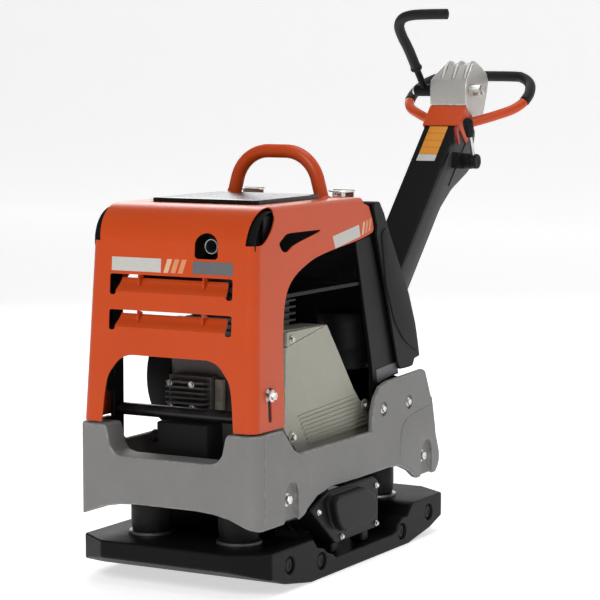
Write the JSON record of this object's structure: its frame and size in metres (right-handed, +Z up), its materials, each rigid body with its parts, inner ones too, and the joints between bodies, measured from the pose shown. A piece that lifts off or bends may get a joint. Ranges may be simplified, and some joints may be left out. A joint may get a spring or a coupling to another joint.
{
  "type": "plate compactor",
  "caption": "Reversible vibratory plate compactor: sole plate with twin-shaft exciter, engine on a rubber-mounted cast frame, tilting hood, lifting bail and folding control handle.",
  "frame": {"origin": "centre of the sole plate's flat underside", "axes": "+Z up, -Y towards the front of the machine, +Y towards the operator's handle, +X towards the machine's left side"},
  "size_m": [0.47, 1.5058, 1.1807],
  "materials": {
    "orange_paint": "orange powder coat, satin gloss",
    "frame_casting": "grey painted casting with a fine sand texture",
    "plate_casting": "black painted ductile iron, worn along its edges",
    "guard_casting": "warm grey sand casting",
    "black_paint": "black powder coat",
    "black_plastic": "moulded black plastic with a fine grain",
    "gloss_black": "glossy black lid",
    "zinc": "zinc plated fasteners",
    "steel": "machined steel",
    "head_casting": "silver grey blasted casting",
    "engine_casting": "raw engine casting",
    "rubber": "black rubber",
    "lock_red": "red moulded tab"
  },
  "bodies": {
    "machine": {"base_plate": "plate_casting", "plate_plugs": "black_paint", "exciter_housing": "plate_casting", "exciter_gear_cover": "black_paint", "exciter_drive_cover": "black_paint", "cover_bolts": "zinc", "exciter_bearings": "steel", "shock_mounts": "rubber", "shock_mount_plates": "steel", "upper_frame": "frame_casting", "frame_bolts": "zinc", "engine_deck": "black_paint", "engine_block": "engine_casting", "cylinder_head": "engine_casting", "fan_cowl": "black_paint", "drive_belt": "rubber", "belt_cover": "guard_casting", "belt_cover_cap": "guard_casting", "muffler": "black_paint", "tailpipe": "steel", "air_cleaner": "black_plastic", "fuel_tank": "black_plastic", "battery_box": "black_plastic", "crossbar": "black_paint", "guard_frame": "black_paint", "lifting_bail": "orange_paint", "top_cover": "gloss_black", "side_panels": "black_paint", "rear_cover": "black_plastic", "latch_keepers": "zinc", "hood_pivot_bolts": "zinc", "handle_bracket": "black_paint", "handle_pivot_pin": "zinc"},
    "exciter_front": {"front_eccentric_shaft": "steel", "front_timing_gear": "steel", "exciter_pulley": "steel"},
    "exciter_rear": {"rear_eccentric_shaft": "steel", "rear_timing_gear": "steel"},
    "crank": {"crankshaft": "steel", "flywheel_fan": "engine_casting", "clutch_drum": "steel"},
    "fuel_cap": {"fuel_cap": "black_plastic"},
    "hood_bushes": {"hood_pivot_bushes": "steel"},
    "hood": {"engine_hood": "orange_paint", "latch_bases": "zinc"},
    "latch_left": {"latch_lever_left": "zinc"},
    "latch_right": {"latch_lever_right": "zinc"},
    "handle": {"handle_arm": "black_paint", "handle_saddle": "orange_paint", "head_casting": "head_casting", "loop_handle": "orange_paint", "loop_grip": "rubber", "throttle_hub": "black_plastic"},
    "travel_lever": {"lever_shaft": "zinc", "travel_lever": "black_paint", "travel_grip": "rubber"},
    "throttle": {"throttle_lever": "zinc", "throttle_knob": "black_plastic"},
    "lock_lever": {"lock_lever": "lock_red"}
  },
  "joints": [
    {"name": "crank_spin", "type": "hinge", "parent": "machine", "child": "crank", "pos_m": [0, -0.099, 0.395], "axis": [1, 0, 0], "continuous": true},
    {"name": "front_exciter_spin", "type": "hinge", "parent": "machine", "child": "exciter_front", "pos_m": [0, -0.099, 0.122], "axis": [1, 0, 0], "continuous": true},
    {"name": "rear_exciter_spin", "type": "hinge", "parent": "machine", "child": "exciter_rear", "pos_m": [0, 0.001, 0.122], "axis": [1, 0, 0], "continuous": true},
    {"name": "hood_tilt", "type": "hinge", "parent": "machine", "child": "hood_bushes", "pos_m": [0, -0.356, 0.399], "axis": [1, 0, 0], "range_deg": [0, 60]},
    {"name": "hood_lift", "type": "slide", "parent": "hood_bushes", "child": "hood", "axis": [0, 0, 1], "range_m": [0, 0.048]},
    {"name": "latch_left_open", "type": "hinge", "parent": "hood", "child": "latch_left", "pos_m": [0.13, 0.066, 0.775], "axis": [1, 0, 0], "range_deg": [0, 100]},
    {"name": "latch_right_open", "type": "hinge", "parent": "hood", "child": "latch_right", "pos_m": [-0.13, 0.066, 0.775], "axis": [1, 0, 0], "range_deg": [0, 100]},
    {"name": "fuel_cap_turn", "type": "hinge", "parent": "machine", "child": "fuel_cap", "pos_m": [-0.09, -0.06, 0.747], "axis": [0, 0, 1], "range_deg": [0, 90]},
    {"name": "handle_tilt", "type": "hinge", "parent": "machine", "child": "handle", "pos_m": [0, 0.372, 0.366], "axis": [1, 0, 0], "range_deg": [0, 42]},
    {"name": "travel_lever_swing", "type": "hinge", "parent": "handle", "child": "travel_lever", "pos_m": [0, 0.893, 0.986], "axis": [1, 0, 0], "range_deg": [-45, 12]},
    {"name": "throttle_swing", "type": "hinge", "parent": "handle", "child": "throttle", "pos_m": [0.09, 0.838, 0.815], "axis": [1, 0, 0], "range_deg": [-35, 20]},
    {"name": "lock_lever_press", "type": "hinge", "parent": "handle", "child": "lock_lever", "pos_m": [0.052, 0.806, 0.892], "axis": [1, 0, 0], "range_deg": [0, 40], "stiffness_Nm_per_rad": 0.5, "springref_deg": -5.73}
  ],
  "couplings": [
    {"joint": "front_exciter_spin", "follows": "crank_spin", "ratio": 1.6098},
    {"joint": "rear_exciter_spin", "follows": "crank_spin", "ratio": -1.6098},
    {"joint": "hood_lift", "follows": "hood_tilt", "m_per_rad": 0.0458}
  ]
}
